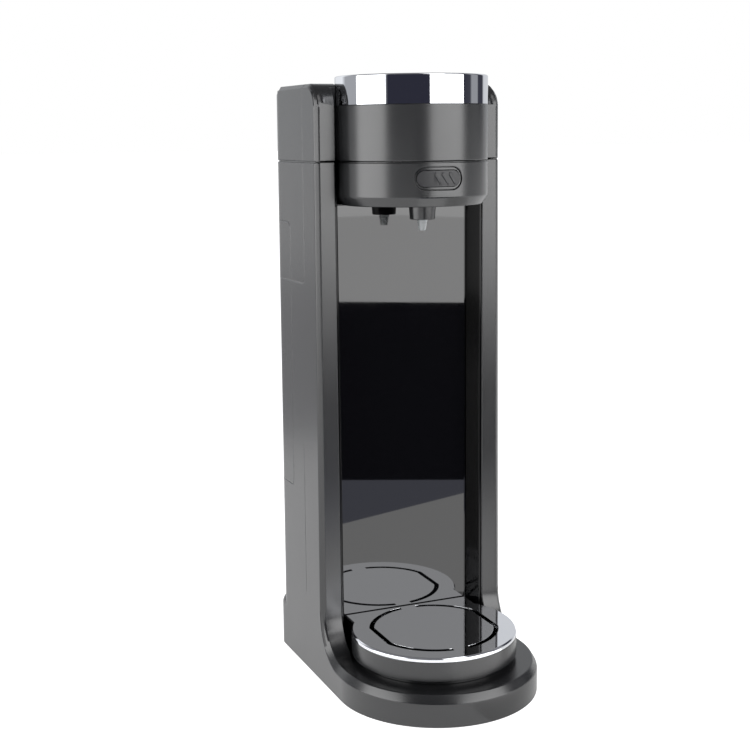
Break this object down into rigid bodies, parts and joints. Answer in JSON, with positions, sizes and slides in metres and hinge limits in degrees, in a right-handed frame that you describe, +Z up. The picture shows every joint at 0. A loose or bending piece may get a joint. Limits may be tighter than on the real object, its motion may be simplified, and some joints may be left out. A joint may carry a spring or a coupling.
{
  "type": "electric wine aerator",
  "caption": "Countertop tower that pumps wine from a reservoir in its round head through an aerating nozzle into a glass on a lift-off drip tray.",
  "frame": {"origin": "on the table, under the middle of the base's bounding box", "axes": "+Z up, -Y towards the user (the nozzle side), +X to the user's right"},
  "size_m": [0.142, 0.208, 0.42],
  "materials": {
    "body_plastic": "satin",
    "head_plastic": "satin",
    "button_plastic": "satin",
    "chrome_plate": "mirror polish",
    "tray_plate": "mirror polish",
    "dark_mirror": "smoked mirror",
    "gloss_liner": "gloss",
    "clear_plastic": "clear",
    "reservoir_plastic": "gloss",
    "lid_plastic": "satin",
    "silicone": "matte",
    "foot_rubber": "matte",
    "screw_steel": "bright",
    "pump_plastic": "moulded",
    "motor_steel": "rolled",
    "board_laminate": "laminate",
    "switch_plastic": "moulded",
    "cell_wrap": "shrink wrap"
  },
  "bodies": {
    "housing": {"main_body": "body_plastic", "top_cover": "body_plastic", "head_lower_housing": "head_plastic", "housing_screws": "screw_steel", "chrome_ring": "chrome_plate", "reservoir": "reservoir_plastic", "reservoir_strainer": "screw_steel", "nozzle_collar": "head_plastic", "spout_tip": "clear_plastic", "spout_oring": "silicone", "aeration_chamber": "reservoir_plastic", "air_filter": "pump_plastic", "button_bezel": "button_plastic", "button_switch": "board_laminate", "mirror_panel": "dark_mirror", "left_liner": "gloss_liner", "right_liner": "gloss_liner", "pump_housing": "pump_plastic", "pump_cover": "pump_plastic", "pump_motor": "motor_steel", "pump_screws": "screw_steel", "pump_hose": "silicone", "intake_hose": "silicone", "outlet_hose": "silicone", "hose_joiners": "pump_plastic", "control_board": "board_laminate", "board_screws": "screw_steel", "battery_holder": "pump_plastic", "battery_cells": "cell_wrap", "charging_socket": "switch_plastic", "rear_cover": "body_plastic", "rear_cover_screws": "screw_steel", "base_plate": "body_plastic", "base_screws": "screw_steel", "rubber_feet": "foot_rubber"},
    "lid": {"fill_lid": "lid_plastic", "lid_gasket": "silicone"},
    "button": {"button_cap": "button_plastic", "switch_plunger": "switch_plastic"},
    "drip_cup": {"drip_cup": "head_plastic"},
    "drip_plate": {"drip_plate": "tray_plate"},
    "pump_rotor": {"pump_rotor": "pump_plastic", "motor_shaft": "screw_steel"},
    "pump_roller_1": {"pump_roller_1": "pump_plastic"},
    "pump_roller_2": {"pump_roller_2": "pump_plastic"},
    "pump_roller_3": {"pump_roller_3": "pump_plastic"}
  },
  "joints": [
    {"name": "lid_lift", "type": "slide", "parent": "housing", "child": "lid", "axis": [0, 0, 1], "range_m": [0, 0.06]},
    {"name": "button_press", "type": "slide", "parent": "housing", "child": "button", "axis": [0, 1, 0], "range_m": [0, 0.0012], "stiffness_N_per_m": 900, "springref_m": -0.0015},
    {"name": "cup_lift", "type": "slide", "parent": "housing", "child": "drip_cup", "axis": [0, 0, 1], "range_m": [0, 0.04]},
    {"name": "plate_lift", "type": "slide", "parent": "drip_cup", "child": "drip_plate", "axis": [0, 0, 1], "range_m": [0, 0.03]},
    {"name": "pump_spin", "type": "hinge", "parent": "housing", "child": "pump_rotor", "pos_m": [0, 0.0297, 0.292], "axis": [0, 1, 0], "continuous": true},
    {"name": "roller_1_spin", "type": "hinge", "parent": "pump_rotor", "child": "pump_roller_1", "pos_m": [0, 0.0297, 0.3027], "axis": [0, 1, 0], "continuous": true},
    {"name": "roller_2_spin", "type": "hinge", "parent": "pump_rotor", "child": "pump_roller_2", "pos_m": [-0.00927, 0.0297, 0.28665], "axis": [0, 1, 0], "continuous": true},
    {"name": "roller_3_spin", "type": "hinge", "parent": "pump_rotor", "child": "pump_roller_3", "pos_m": [0.00927, 0.0297, 0.28665], "axis": [0, 1, 0], "continuous": true}
  ],
  "couplings": [
    {"joint": "roller_1_spin", "follows": "pump_spin", "ratio": -3.3913},
    {"joint": "roller_2_spin", "follows": "pump_spin", "ratio": -3.3913},
    {"joint": "roller_3_spin", "follows": "pump_spin", "ratio": -3.3913}
  ]
}
